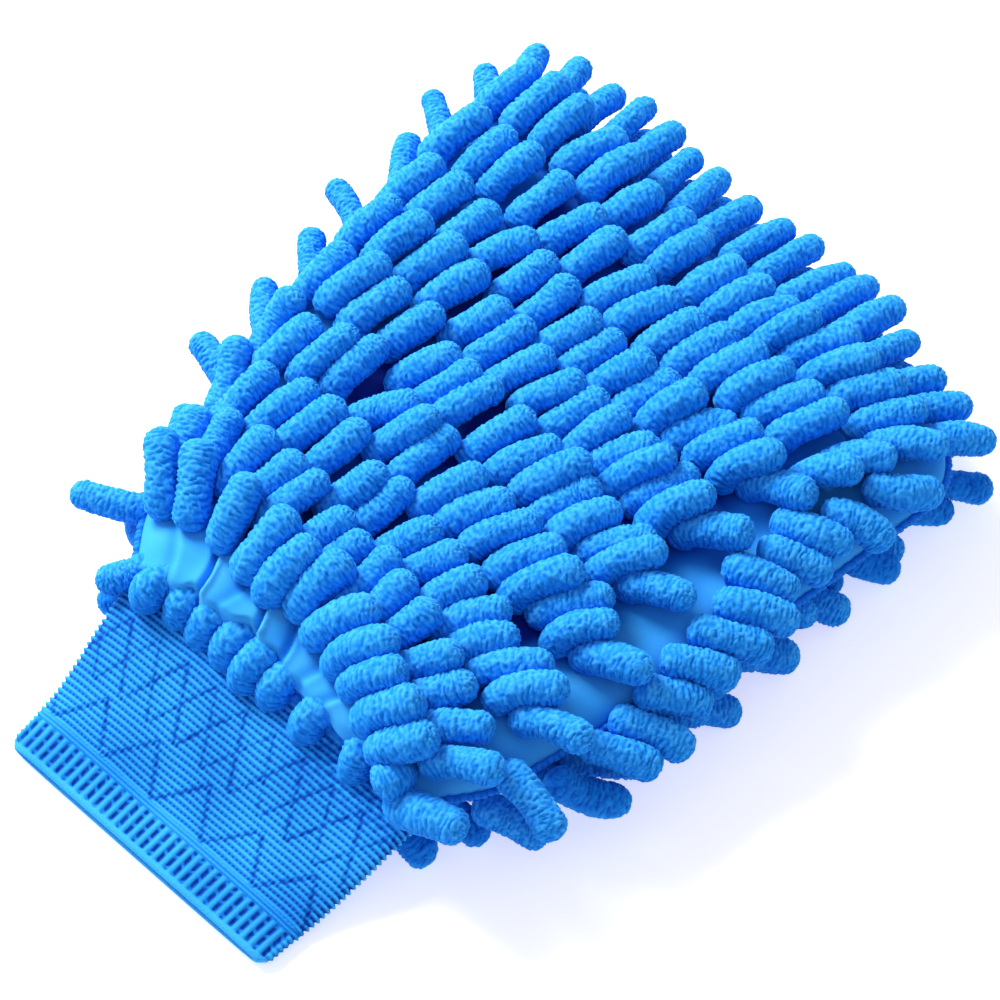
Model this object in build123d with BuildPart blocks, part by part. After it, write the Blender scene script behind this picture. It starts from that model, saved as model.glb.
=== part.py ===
from build123d import *
import math
import os

# A chenille wash mitt lying on a table, in millimetres. +X is across the mitt, +Y runs
# from the cuff to the finger end and +Z is up. The origin is on the table, under the
# middle of the mitt. Distances "along" the mitt are counted from the mouth of the cuff.

# whole mitt
overall_length = 279.6
mouth_y = -overall_length / 2

# chenille noodles
noodle_diameter = 9.4
noodle_length = 26.0
noodle_tilt = math.radians(28.5)
noodle_radius = noodle_diameter / 2
noodle_reach = noodle_length - noodle_diameter  # between the centres of its two ends
root_bite = 0.6  # how deep a root is sewn into the panel
root_standoff = noodle_radius - root_bite
tip_flat = 0.4  # how much of a lower tip is pressed flat by the mitt's weight

# noodle rows on the two broad faces
row_count = 9
column_spacing = 12.2
first_row_along = 79.0
last_row_along = 245.0
row_edge_margin = 16.0
fan_angle = math.radians(10)

# noodles round the rim, and the fringe over the cuff
side_count = 8
side_first_along = 84.0
side_last_along = 222.0
side_sweep = math.radians(25)
far_count = 14
far_fan = math.radians(22)
far_overhang = 5.0  # how far the far row runs past the start of each rounded corner
fringe_count = 10
fringe_spacing = 11.0
fringe_along = 64.5
upper_fringe_droop = math.radians(4)
lower_fringe_droop = math.radians(15)

# mitt body: two backing panels sewn together round the rim
neck_along = 50.0
neck_half_width = 57.0
shoulder_along = 72.0
shoulder_half_width = 68.0
far_along = 256.0
far_half_width = 104.0
far_skew = 9.0  # how much longer the left side is than the right side
shoulder_round = 20.0
far_corner_round = 22.0
panel_rise = 7.5
panel_wall = 1.4
panel_taper = 40.0  # degrees off vertical of the panel's sloping rim
seam_width = 1.6
seam_height = 2.0

# inside the body
stitch_width = 1.0
stitch_thickness = 0.3
lining_gap = 0.5
lining_wall = 0.6

# cuff
welt_length = 12.0
welt_width = 102.0
welt_thickness = 8.6
welt_leg = 0.6
elastic_channel = 0.5
elastic_thickness = 0.4
elastic_length = 8.0
ply_wall = 0.8
ply_gap = 0.1
sleeve_end_along = 56.0
sleeve_end_width = 112.0
sleeve_end_thickness = 12.0

# gathered seam between the cuff and the body
join_length = 2.5
join_width = 116.0
join_thickness = 12.6
join_opening_width = 107.0
join_opening_thickness = 8.4

body_start_along = sleeve_end_along + join_length
far_slope = -far_skew / (2 * far_half_width)
lining_inset = panel_wall + lining_gap + lining_wall
table_span = 400.0  # larger than the whole mitt, for the solids that trim it
seam_z = panel_rise + root_standoff + noodle_reach * math.sin(noodle_tilt) + noodle_radius - tip_flat

os.makedirs("parts", exist_ok=True)


def save(builder, name):
    builder.part.label = name
    export_step(builder.part, f"parts/{name}.step")


def side_length(hand):
    """From the shoulder to the far corner, on the right (hand 1) or left (hand -1) side."""
    return far_along - hand * far_skew / 2 - shoulder_along


def half_width(along, hand=0):
    """From the mitt's middle line to its edge, between the shoulder and the finger end."""
    share = (along - shoulder_along) / side_length(hand)
    return shoulder_half_width + share * (far_half_width - shoulder_half_width)


# ---------------------------------------------------------------- body


def body_outline(inset):
    """The body in plan: a neck, two shoulders and flaring sides up to a skewed far edge."""
    with BuildSketch() as outline:
        with BuildLine():
            Polyline(
                (-neck_half_width, mouth_y + neck_along),
                (neck_half_width, mouth_y + neck_along),
                (shoulder_half_width, mouth_y + shoulder_along),
                (far_half_width, mouth_y + far_along - far_skew / 2),
                (-far_half_width, mouth_y + far_along + far_skew / 2),
                (-shoulder_half_width, mouth_y + shoulder_along),
                close=True,
            )
        make_face()
        fillet(outline.vertices().sort_by(Axis.Y)[4:6], far_corner_round)
        fillet(outline.vertices().sort_by(Axis.Y)[2:4], shoulder_round)
        if inset:
            offset(amount=-inset, kind=Kind.INTERSECTION)
    return outline


def trim_neck():
    """Cuts away whatever lies on the cuff's side of the join seam."""
    with Locations((0, mouth_y + body_start_along - table_span / 2, seam_z)):
        Box(table_span, table_span, table_span, mode=Mode.SUBTRACT)


def pillow_half(inset, rise, wall):
    """The upper half of a flat pillow: a domed sheet open at the rim plane and at the neck."""
    outline = body_outline(inset)
    with BuildPart() as half:
        with BuildSketch(Plane.XY.offset(seam_z)):
            add(outline.sketch)
        extrude(amount=rise, taper=panel_taper)
        trim_neck()
        rim = half.faces().sort_by(Axis.Z)[0]
        neck = half.faces().sort_by(Axis.Y)[0]
        offset(amount=-wall, openings=[rim, neck], kind=Kind.INTERSECTION)
    return half


def mirrored(half):
    """The same sheet turned over about the plane of the side seam."""
    flipped = half.part.mirror(Plane.XY.offset(seam_z))
    with BuildPart() as other:
        add(flipped)
    return other


upper_panel = pillow_half(0, panel_rise, panel_wall)
save(upper_panel, "upper_panel")
lower_panel = mirrored(upper_panel)
save(lower_panel, "lower_panel")

lining_rise = panel_rise - panel_wall - lining_gap
upper_lining = pillow_half(lining_inset, lining_rise, lining_wall)
save(upper_lining, "upper_lining")
lower_lining = mirrored(upper_lining)
save(lower_lining, "lower_lining")

# the overlocked edge that joins the two panels round three sides
with BuildPart() as side_seam:
    seam_outer = body_outline(-seam_width)
    seam_inner = body_outline(0)
    with BuildSketch(Plane.XY.offset(seam_z - seam_height / 2)):
        add(seam_outer.sketch)
        add(seam_inner.sketch, mode=Mode.SUBTRACT)
    extrude(amount=seam_height)
    trim_neck()
save(side_seam, "side_seam")

# ---------------------------------------------------------------- cuff


def cuff_plane(along, height):
    """A plane across the cuff, with X across the mitt and its normal towards the fingers."""
    return Plane(origin=(0, mouth_y + along, height), x_dir=(1, 0, 0), z_dir=(0, 1, 0))


welt_z = welt_thickness / 2
mouth_plane = cuff_plane(0, welt_z)
welt_end_plane = cuff_plane(welt_length, welt_z)
sleeve_end_plane = cuff_plane(sleeve_end_along, seam_z)


def flat_ring(plane, inset, wall, length):
    """A flattened tube of the welt's section, extruded towards the fingers."""
    with BuildPart() as ring:
        with BuildSketch(plane):
            SlotOverall(welt_width - 2 * inset, welt_thickness - 2 * inset)
            hollow = 2 * (inset + wall)
            SlotOverall(welt_width - hollow, welt_thickness - hollow, mode=Mode.SUBTRACT)
        extrude(amount=length)
    return ring


def knit_ply(inset, wall):
    """One ply of the cuff: a flattened tube that widens and climbs from the welt to the neck."""
    with BuildPart() as ply:
        for depth, mode in ((inset, Mode.ADD), (inset + wall, Mode.SUBTRACT)):
            with BuildSketch(welt_end_plane):
                SlotOverall(welt_width - 2 * depth, welt_thickness - 2 * depth)
            with BuildSketch(sleeve_end_plane):
                SlotOverall(sleeve_end_width - 2 * depth, sleeve_end_thickness - 2 * depth)
            loft(mode=mode)
    return ply


# the folded band at the mouth, with a channel between its legs for the elastic
welt_wall = 2 * welt_leg + elastic_channel
channel_start = 2.0
elastic_start = 3.0
channel_length = welt_length - channel_start
channel = flat_ring(cuff_plane(channel_start, welt_z), welt_leg, elastic_channel, channel_length)
whole_welt = flat_ring(mouth_plane, 0, welt_wall, welt_length)
with BuildPart() as cuff_welt:
    add(whole_welt.part)
    add(channel.part, mode=Mode.SUBTRACT)
save(cuff_welt, "cuff_welt")

elastic_inset = welt_leg + (elastic_channel - elastic_thickness) / 2
elastic_plane = cuff_plane(elastic_start, welt_z)
welt_elastic = flat_ring(elastic_plane, elastic_inset, elastic_thickness, elastic_length)
save(welt_elastic, "welt_elastic")

cuff_outer_ply = knit_ply(0, ply_wall)
save(cuff_outer_ply, "cuff_outer_ply")
cuff_inner_ply = knit_ply(ply_wall + ply_gap, ply_wall)
save(cuff_inner_ply, "cuff_inner_ply")

with BuildPart() as cuff_join_seam:
    with BuildSketch(sleeve_end_plane):
        SlotOverall(join_width, join_thickness)
        SlotOverall(join_opening_width, join_opening_thickness, mode=Mode.SUBTRACT)
    extrude(amount=join_length)
save(cuff_join_seam, "cuff_join_seam")

# ---------------------------------------------------------------- noodles

# one noodle: a round-ended tuft with its root centre at the origin, pointing along +Z
with BuildPart() as noodle:
    with BuildSketch(Plane.XZ):
        with Locations((0, noodle_reach / 2)):
            SlotOverall(noodle_length, noodle_diameter, rotation=90)
        split(bisect_by=Plane.YZ)
    revolve(axis=Axis.Z)


def noodle_place(x, y, z, heading, pitch):
    """Where a noodle goes: heading turns from +Y towards +X, pitch lifts it off the level."""
    pointing = (
        math.cos(pitch) * math.sin(heading),
        math.cos(pitch) * math.cos(heading),
        math.sin(pitch),
    )
    return Plane(origin=(x, y, z), z_dir=pointing).location


def noodle_group(places):
    """A row of separate noodles, with any tip that reaches the table pressed flat on it."""
    with BuildPart() as group:
        with Locations(*places):
            add(noodle.part)
        with Locations((0, 0, -table_span / 2)):
            Box(table_span, table_span, table_span, mode=Mode.SUBTRACT)
    return group


def row_columns(row):
    """The roots of one row, left to right: x, distance along, and how far it fans out."""
    share = row / (row_count - 1)
    along = first_row_along + share * (last_row_along - first_row_along)
    reach = half_width(along) - row_edge_margin
    count = round(2 * reach / column_spacing) + 1
    for column in range(count):
        across = 2 * column / (count - 1) - 1
        x = across * reach
        yield x, along + share * far_slope * x, fan_angle * across


def face_row(row, side):
    """One row on the upper (side 1) or lower (side -1) face."""
    z = seam_z + side * (panel_rise + root_standoff)
    return [
        noodle_place(x, mouth_y + along, z, heading, side * noodle_tilt)
        for x, along, heading in row_columns(row)
    ]


def fringe_row(side):
    """The noodles that hang back over the cuff from the neck of the body."""
    z = seam_z + side * (panel_rise + root_standoff)
    droop = upper_fringe_droop if side > 0 else lower_fringe_droop
    places = []
    for column in range(fringe_count):
        x = (column - (fringe_count - 1) / 2) * fringe_spacing
        places.append(noodle_place(x, mouth_y + fringe_along, z, math.pi, -droop))
    return places


# a rim noodle's root rests on the panel's sloping rim, half way up it
slope = math.radians(panel_taper)
rim_out = root_standoff * math.cos(slope) - panel_rise / 2 * math.tan(slope)
rim_up = panel_rise / 2 + root_standoff * math.sin(slope)


def side_row(hand, side):
    """Noodles along the right (hand 1) or left (hand -1) edge, swept towards the fingers."""
    flare = math.atan2(far_half_width - shoulder_half_width, side_length(hand))
    places = []
    for step in range(side_count):
        share = (step + (0 if side > 0 else 0.5)) / side_count
        along = side_first_along + share * (side_last_along - side_first_along)
        x = hand * (half_width(along, hand) + rim_out / math.cos(flare))
        heading = hand * (math.pi / 2 - side_sweep)
        places.append(noodle_place(x, mouth_y + along, seam_z + side * rim_up, heading, 0))
    return places


def far_row(side):
    """Noodles along the far edge, fanning out towards its two rounded corners."""
    reach = far_half_width - far_corner_round
    places = []
    for step in range(far_count):
        across = 2 * step / (far_count - 1) - 1
        x = across * (reach + far_overhang)
        dip = max(0.0, abs(x) - reach) ** 2 / (2 * far_corner_round)
        y = mouth_y + far_along + far_slope * x + rim_out - dip
        heading = across * far_fan
        places.append(noodle_place(x, y, seam_z + side * rim_up, heading, 0))
    return places


for face, side in (("upper", 1), ("lower", -1)):
    for row in range(row_count):
        save(noodle_group(face_row(row, side)), f"{face}_noodle_row_{row + 1:02d}")
    save(noodle_group(fringe_row(side)), f"{face}_cuff_fringe")
    save(noodle_group(far_row(side)), f"{face}_far_noodles")
    save(noodle_group(side_row(-1, side)), f"{face}_left_noodles")
    save(noodle_group(side_row(1, side)), f"{face}_right_noodles")

# ---------------------------------------------------------------- row stitching


def stitch_lines(side):
    """The lines of thread inside a panel that hold its noodle rows."""
    inner = panel_rise - panel_wall
    with BuildPart() as stitching:
        for row in range(row_count):
            share = row / (row_count - 1)
            along = first_row_along + share * (last_row_along - first_row_along)
            length = 2 * (half_width(along) - row_edge_margin)
            turn = Rotation(0, 0, math.degrees(math.atan(share * far_slope)))
            height = seam_z + side * (inner - stitch_thickness / 2)
            with Locations(Location((0, mouth_y + along, height)) * turn):
                Box(length, stitch_width, stitch_thickness)
    return stitching


save(stitch_lines(1), "upper_row_stitching")
save(stitch_lines(-1), "lower_row_stitching")
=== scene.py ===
import math

import bpy
import numpy as np
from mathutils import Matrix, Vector


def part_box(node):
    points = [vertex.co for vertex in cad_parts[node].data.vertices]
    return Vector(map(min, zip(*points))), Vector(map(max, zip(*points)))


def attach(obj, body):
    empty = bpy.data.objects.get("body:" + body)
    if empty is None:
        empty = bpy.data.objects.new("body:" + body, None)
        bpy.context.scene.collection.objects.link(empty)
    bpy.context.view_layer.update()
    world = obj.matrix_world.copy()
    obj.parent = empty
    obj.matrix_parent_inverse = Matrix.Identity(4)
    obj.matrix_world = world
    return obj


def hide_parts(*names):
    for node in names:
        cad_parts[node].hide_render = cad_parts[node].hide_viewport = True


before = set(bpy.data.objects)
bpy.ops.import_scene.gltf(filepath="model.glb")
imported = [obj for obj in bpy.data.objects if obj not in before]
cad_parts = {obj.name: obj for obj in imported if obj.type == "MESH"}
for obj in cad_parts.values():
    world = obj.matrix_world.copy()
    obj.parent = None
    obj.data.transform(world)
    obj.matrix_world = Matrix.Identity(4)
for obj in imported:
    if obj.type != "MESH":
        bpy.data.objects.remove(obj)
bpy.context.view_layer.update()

# A chenille wash mitt lying on a table. The script works in millimetres, in the frame of the
# CAD model (+X across, +Y from cuff to finger end, +Z up), and turns into metres only where a
# mesh is stored. "Along" is the distance from the mouth of the cuff, and "side" is 1 on the
# mitt's upper face and -1 on its lower one.

MM = 0.001
SHADE_AND_TONE = "shade_and_tone"  # the point attribute that colours the cloth: mostly painted light and shade, lighter on crests and lit sides, darker in hollows


def box_mm(node):
    low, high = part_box(node)
    return np.array(low) / MM, np.array(high) / MM


def smooth(edge0, edge1, x):
    """0 below edge0, 1 above edge1 and an eased step between them."""
    t = np.clip((np.asarray(x, float) - edge0) / (edge1 - edge0), 0.0, 1.0)
    return t * t * (3 - 2 * t)


def unit(vectors):
    """Vectors of any length along the last axis, made 1 long."""
    return vectors / np.maximum(np.linalg.norm(vectors, axis=-1, keepdims=True), 1e-9)


def wave_noise(seed, wavelength, count=10):
    """A smooth seeded random field of two coordinates in mm, about -1 to 1."""
    r = np.random.default_rng(seed)
    angle = r.uniform(0, 2 * math.pi, count)
    k = 2 * math.pi / (wavelength * r.uniform(0.7, 1.5, count))
    phase = r.uniform(0, 2 * math.pi, count)

    def field(x, y):
        x, y = np.asarray(x, float), np.asarray(y, float)
        total = sum(
            np.sin(k[i] * (x * math.cos(angle[i]) + y * math.sin(angle[i])) + phase[i])
            for i in range(count)
        )
        return total / math.sqrt(count)

    return field


# ---------- sizes, from the frame

welt_low, _ = box_mm("cuff_welt")
seam_low, seam_high = box_mm("side_seam")
panel_low, panel_high = box_mm("upper_panel")
_, join_high = box_mm("cuff_join_seam")
mouth_y = welt_low[1]
seam_z = (seam_low[2] + seam_high[2]) / 2
neck_along = join_high[1] - mouth_y
panel_rise = panel_high[2] - seam_z
far_fullness = 2.0  # how far the cloth stands past the CAD panel on each side
far_half_width = (panel_high[0] - panel_low[0]) / 2 + far_fullness
far_along = 256.0
shoulder_along = 72.0
shoulder_half_width = 68.0
neck_half_width = 59.0
side_bulge = 3.5  # how far the long sides bow outwards
left_lift = 4.5  # how far the left rim is lifted off its level
far_corner = 26.0  # radius of the rounded far corners
far_skew = 9.0  # how much longer the left side is than the right one
edge_roll = 21.0  # how far in from the rim the mitt's pillow shape levels out
near_roll = 3.0  # how far before the neck the pillow starts to rise
near_steepness = 2.8  # how much faster it levels out there than at the rim
top_fullness = 0.8  # how far the upper face stands above the CAD panel


# ---------- the body's shape


def half_width(along):
    """Half the fabric's width, without the rounded far corners."""
    share = (np.asarray(along, float) - shoulder_along) / (far_along - shoulder_along)
    straight = shoulder_half_width + share * (far_half_width - shoulder_half_width)
    bulge = side_bulge * np.sin(math.pi * np.clip(share, 0, 1))
    neck = 1 - smooth(neck_along - 4, shoulder_along + 4, along)
    return straight + bulge - (shoulder_half_width - neck_half_width) * neck


def rim_half_width(along):
    """Half the fabric's width with the rounded far corners."""
    over = np.clip(np.asarray(along, float) - (far_along - far_corner), 0, far_corner)
    return half_width(along) - (far_corner - np.sqrt(np.maximum(far_corner**2 - over**2, 0)))


def skewed(x, along):
    """The y of a point: the left side is longer than the right one, more so towards the fingers."""
    share = np.clip((along - shoulder_along) / (far_along - shoulder_along), 0, 1)
    return mouth_y + along - share * far_skew * x / (2 * far_half_width)


def along_of(x, y):
    """The inverse of skewed."""
    span = far_along - shoulder_along
    lean = far_skew * x / (2 * far_half_width)
    raw = y - mouth_y
    inner = (raw - lean * shoulder_along / span) / (1 - lean / span)
    return np.where(raw < shoulder_along, raw, np.where(inner > far_along, raw + lean, inner))


rim_wave = wave_noise(3, 60)
top_wave = wave_noise(4, 34)
soft_wave = wave_noise(5, 16)


def rim_height(x, along):
    """Height of the side seam, which waves a little and is lifted along the left side."""
    lift = left_lift * smooth(45, 95, -x) * smooth(105, 165, along)
    return seam_z + 1.2 * rim_wave(x, along) + lift


def pillow(x, along):
    """0 at the rim and 1 on the level part of the body."""
    side = rim_half_width(along) - np.abs(x)
    far = far_along - along
    near = along - neck_along + near_roll
    d = np.minimum(np.minimum(side, far), near * near_steepness)
    t = np.clip(d / edge_roll, 0, 1)
    return np.sqrt(np.maximum(1 - (1 - t) ** 2, 0))


# creases of the gathered strip: middle x, lean, depth, width
creases = (
    (-50, 0.75, 1.0, 2.6),
    (-35, 0.35, 3.4, 1.3),
    (-24, -0.15, 0.7, 2.0),
    (-14, 0.45, 3.2, 1.2),
    (-3, 0.40, 2.0, 1.4),
    (9, -0.10, 1.0, 2.2),
    (21, -0.35, 1.3, 2.2),
    (34, -0.20, 1.1, 2.6),
    (47, -0.40, 1.2, 2.4),
)


def gathers(x, along):
    """Folds where the body is gathered onto the narrower cuff."""
    fade = 1 - smooth(neck_along + 12, neck_along + 26, along)
    total = 0
    for middle, lean, depth, width in creases:
        line = middle - lean * (along - 68) + 0.9 * np.sin((along - 60) / 4)
        t = (x - line) / width
        total = total + depth * (1.15 * t * np.exp(-t * t) - 0.6 * np.exp(-2.4 * t * t))
    return total * fade


def near_edge(x):
    """Where the body's near edge lies: it hangs past the neck between one crease and the next."""
    pinch = sum(depth * np.exp(-(((x - middle) / 3.4) ** 2)) for middle, _, depth, _ in creases)
    return neck_along - 1.0 + 4.0 * np.exp(-(((x + 10) / 26) ** 2)) + 0.8 * pinch


def surface(side, x, along):
    """Height of one face of the body."""
    level, rim = pillow(x, along), rim_height(x, along)
    if side < 0:
        return rim - panel_rise * level + level * 0.4 * top_wave(x + 300, along)
    wrinkles = 0.6 * top_wave(x, along) + 0.30 * soft_wave(x, along)
    body = rim + (panel_rise + top_fullness) * level
    return body + level * wrinkles + np.minimum(1.0, level + 0.35) * gathers(x, along)


# ---------- mesh helpers


def store_mesh(name, points, faces, tone):
    """A smooth-shaded mesh object from points in mm, a list of face arrays and a tone for each
    point, which its material turns into colour: mostly painted shade towards 0, in the hollows
    of its cloth, and painted light towards 1, on the crests."""
    mesh = bpy.data.meshes.new(name)
    points = np.ascontiguousarray(points, np.float32) * MM
    mesh.vertices.add(len(points))
    mesh.vertices.foreach_set("co", points.ravel())
    corners = np.concatenate([f.ravel() for f in faces]).astype(np.int32)
    sizes = np.concatenate([np.full(len(f), f.shape[1], np.int32) for f in faces])
    starts = np.concatenate([[0], np.cumsum(sizes)[:-1]]).astype(np.int32)
    mesh.loops.add(len(corners))
    mesh.loops.foreach_set("vertex_index", corners)
    mesh.polygons.add(len(sizes))
    mesh.polygons.foreach_set("loop_start", starts)
    mesh.polygons.foreach_set("use_smooth", np.ones(len(sizes), bool))
    layer = mesh.attributes.new(SHADE_AND_TONE, "FLOAT", "POINT")
    layer.data.foreach_set("value", np.ascontiguousarray(tone, np.float32))
    mesh.update(calc_edges=True)
    mesh.validate()
    piece = bpy.data.objects.new(name, mesh)
    bpy.context.scene.collection.objects.link(piece)
    return piece


def grid_quads(rows, columns, wrap=False, flip=False):
    """Quads between the points of a rows x columns grid, joined round in columns if wrap."""
    last = columns if wrap else columns - 1
    i, j = np.meshgrid(np.arange(rows - 1), np.arange(last), indexing="ij")
    k = (j + 1) % columns
    here, above = i * columns, (i + 1) * columns
    quads = np.stack([here + j, here + k, above + k, above + j], -1).reshape(-1, 4)
    return quads[:, ::-1] if flip else quads


def closing_quads(rows, columns):
    """Quads that join the last ring of a tube to its first one."""
    j = np.arange(columns)
    k = (j + 1) % columns
    last = (rows - 1) * columns
    return np.stack([last + j, last + k, k, j], -1)


def finish_piece(piece, material, node):
    piece.data.materials.append(material)
    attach(piece, "root")
    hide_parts(node)
    return piece


# ---------- materials


def node_material(name):
    material = bpy.data.materials.new(name)
    material.use_nodes = True
    nodes = material.node_tree.nodes
    return material, nodes, material.node_tree.links, nodes["Principled BSDF"]


def colour_ramp(nodes, stops):
    ramp = nodes.new("ShaderNodeValToRGB")
    ramp.color_ramp.elements[0].position = stops[0][0]
    ramp.color_ramp.elements[0].color = (*stops[0][1], 1)
    ramp.color_ramp.elements[1].position = stops[-1][0]
    ramp.color_ramp.elements[1].color = (*stops[-1][1], 1)
    for position, colour in stops[1:-1]:
        ramp.color_ramp.elements.new(position).color = (*colour, 1)
    return ramp


def noise_node(nodes, links, coordinates, scale, detail=3.0):
    noise = nodes.new("ShaderNodeTexNoise")
    noise.inputs["Scale"].default_value = scale
    noise.inputs["Detail"].default_value = detail
    links.new(coordinates, noise.inputs["Vector"])
    return noise


def math_node(nodes, links, operation, *values):
    """A math node whose inputs are linked to sockets or set to numbers."""
    node = nodes.new("ShaderNodeMath")
    node.operation = operation
    for socket, value in zip(node.inputs, values):
        if isinstance(value, float):
            socket.default_value = value
        else:
            links.new(value, socket)
    return node.outputs[0]


def fabric_material(name, stops, fibre_mm, bump_mm, sheen, mottle=0.18):
    """Cloth whose colour follows its points' tone, which is mostly painted light and shade, a slow
    mottle and a fibre-scale speckle, with a fibre-scale bump and a soft sheen."""
    material, nodes, links, shader = node_material(name)
    place = nodes.new("ShaderNodeTexCoord").outputs["Object"]
    # the attribute that carries the painted light and shade
    height = nodes.new("ShaderNodeAttribute")
    height.attribute_name = SHADE_AND_TONE
    slow = noise_node(nodes, links, place, 60.0, 2.0)
    fibre = noise_node(nodes, links, place, 1 / (fibre_mm * MM), 4.0)
    level = height.outputs["Fac"]
    for noise, share in ((slow, mottle), (fibre, mottle * 1.5)):
        level = math_node(nodes, links, "MULTIPLY_ADD", noise.outputs["Fac"], share, level)
    level = math_node(nodes, links, "SUBTRACT", level, mottle * 1.25)
    ramp = colour_ramp(nodes, stops)
    links.new(level, ramp.inputs["Fac"])
    links.new(ramp.outputs["Color"], shader.inputs["Base Color"])
    bump = nodes.new("ShaderNodeBump")
    bump.inputs["Strength"].default_value = 0.6
    bump.inputs["Distance"].default_value = bump_mm * MM
    links.new(fibre.outputs["Fac"], bump.inputs["Height"])
    links.new(bump.outputs["Normal"], shader.inputs["Normal"])
    shader.inputs["Roughness"].default_value = 0.85
    shader.inputs["Specular IOR Level"].default_value = 0.15
    shader.inputs["Sheen Weight"].default_value = sheen
    shader.inputs["Sheen Roughness"].default_value = 0.45
    shader.inputs["Sheen Tint"].default_value = (0.10, 0.70, 1.0, 1)
    return material


# the chenille's ramp: from painted shade, in the pile's hollows and on its shaded sides, to painted
# light on its lit tops and tips
CREVICE_SHADE_BLUE = (0.0, 0.025, 0.36)
MID = (0.0, 0.155, 0.66)
LIT_BLUE = (0.008, 0.255, 0.82)
HIGHLIGHT_BLUE = (0.045, 0.39, 0.92)

chenille = fabric_material(
    "chenille",
    ((0.0, CREVICE_SHADE_BLUE), (0.38, MID), (0.72, LIT_BLUE), (1.0, HIGHLIGHT_BLUE)),
    fibre_mm=0.5, bump_mm=0.22, sheen=0.35,
)
# the jersey's ramp: from painted shade, in its creases and where the noodles cover it, to painted
# light on its crests
jersey = fabric_material(
    "backing_jersey",
    ((0.0, (0.0, 0.018, 0.27)), (0.3, (0.004, 0.16, 0.64)), (0.65, (0.03, 0.33, 0.80)),
     (1.0, (0.07, 0.46, 0.88))),
    fibre_mm=0.4, bump_mm=0.06, sheen=0.15, mottle=0.10,
)
knit = fabric_material(
    "cuff_knit",
    ((0.0, (0.0, 0.05, 0.36)), (0.45, (0.002, 0.19, 0.66)), (1.0, (0.04, 0.42, 0.90))),
    fibre_mm=0.35, bump_mm=0.15, sheen=0.15,
)
thread = fabric_material(
    "seam_thread",
    ((0.0, (0.0, 0.05, 0.40)), (1.0, (0.01, 0.24, 0.85))),
    fibre_mm=0.3, bump_mm=0.1, sheen=0.1,
)
lining_cloth = fabric_material(
    "lining_cloth",
    ((0.0, (0.01, 0.22, 0.70)), (1.0, (0.05, 0.40, 0.90))),
    fibre_mm=0.4, bump_mm=0.05, sheen=0.1,
)
elastic_braid = fabric_material(
    "elastic_braid",
    ((0.0, (0.55, 0.57, 0.60)), (1.0, (0.85, 0.86, 0.88))),
    fibre_mm=0.3, bump_mm=0.1, sheen=0.05,
)

# ---------- chenille noodles

NOODLE_RADIUS = 4.95
CHAIN = 8  # points on a noodle's middle line while it settles
PILE_MAPS = 10  # how many piles differ
PILE_LEVEL = 0.60  # the height of pile that lies on a noodle's radius
# spots of the pile: how far apart along and round a noodle, and how far each reaches
TUFT_PITCH, TUFT_REACH = (1.15, 1.35), 0.85
LOOP_PITCH, LOOP_REACH = (2.5, 3.3), 1.9
PARTING_PITCH, PARTING_WIDTH = (1.75, 2.7), 0.38


def pile_maps(seed, rows, segments, length, radius):
    """Heights of the chenille's pile over an unrolled noodle: a soft skin of fine tufts with
    short, wavy partings that run round the noodle between its loops."""
    maps = []
    r = np.random.default_rng(seed)
    girth = 2 * math.pi * radius
    s = np.linspace(0, length, rows)[:, None] * np.ones((1, segments))
    a = np.ones((rows, 1)) * np.linspace(0, girth, segments, endpoint=False)[None, :]
    turn = 2 * math.pi * a / girth

    def spots(pitch_s, pitch_a, jitter):
        """Offsets of every point from jittered spots on a brick pattern, along and round."""
        n_s, n_a = int(length / pitch_s) + 3, max(6, int(round(girth / pitch_a)))
        gi, gj = np.meshgrid(np.arange(-1, n_s - 1), np.arange(n_a), indexing="ij")
        spot_s = ((gi + 0.5 + r.uniform(-jitter, jitter, gi.shape)) * pitch_s).ravel()
        spot_a = gj + 0.5 * (gi % 2) + r.uniform(-jitter, jitter, gi.shape)
        spot_a = (spot_a * girth / n_a % girth).ravel()
        phase = r.uniform(0, 2 * math.pi, 3)
        bend = 0.35 * np.sin(3 * turn + phase[0] + 0.5 * s)
        bend = bend + 0.15 * np.sin(7 * turn + phase[1] - 0.9 * s)
        sway = 0.35 * np.sin(0.9 * s + 2 * turn + phase[2])
        ds = (s + bend)[..., None] - spot_s
        da = ((a + sway)[..., None] - spot_a + girth / 2) % girth - girth / 2
        return ds, da

    for _ in range(PILE_MAPS):
        ds, da = spots(*TUFT_PITCH, 0.38)
        tuft = np.clip(1 - np.min(ds**2 + da**2, -1) / TUFT_REACH**2, 0, 1)
        ds, da = spots(*LOOP_PITCH, 0.38)
        loop = np.clip(1 - np.min(ds**2 + da**2, -1) / LOOP_REACH**2, 0, 1)
        ds, da = spots(*PARTING_PITCH, 0.28)
        tilt = r.normal(0, 0.12, ds.shape[-1])
        reach = r.uniform(0.8, 1.5, ds.shape[-1])
        depth = r.uniform(0.35, 1.0, ds.shape[-1])
        across = (ds + tilt * da) / PARTING_WIDTH
        end = 1 - smooth(0.6, 1.3, np.abs(da) / reach)
        parting = np.max(depth * np.exp(-(across**2)) * end, -1)
        skin = (0.42 + 0.34 * tuft + 0.24 * loop) * (1 - 0.86 * parting)
        maps.append(skin.astype(np.float32))
    return maps


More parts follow.
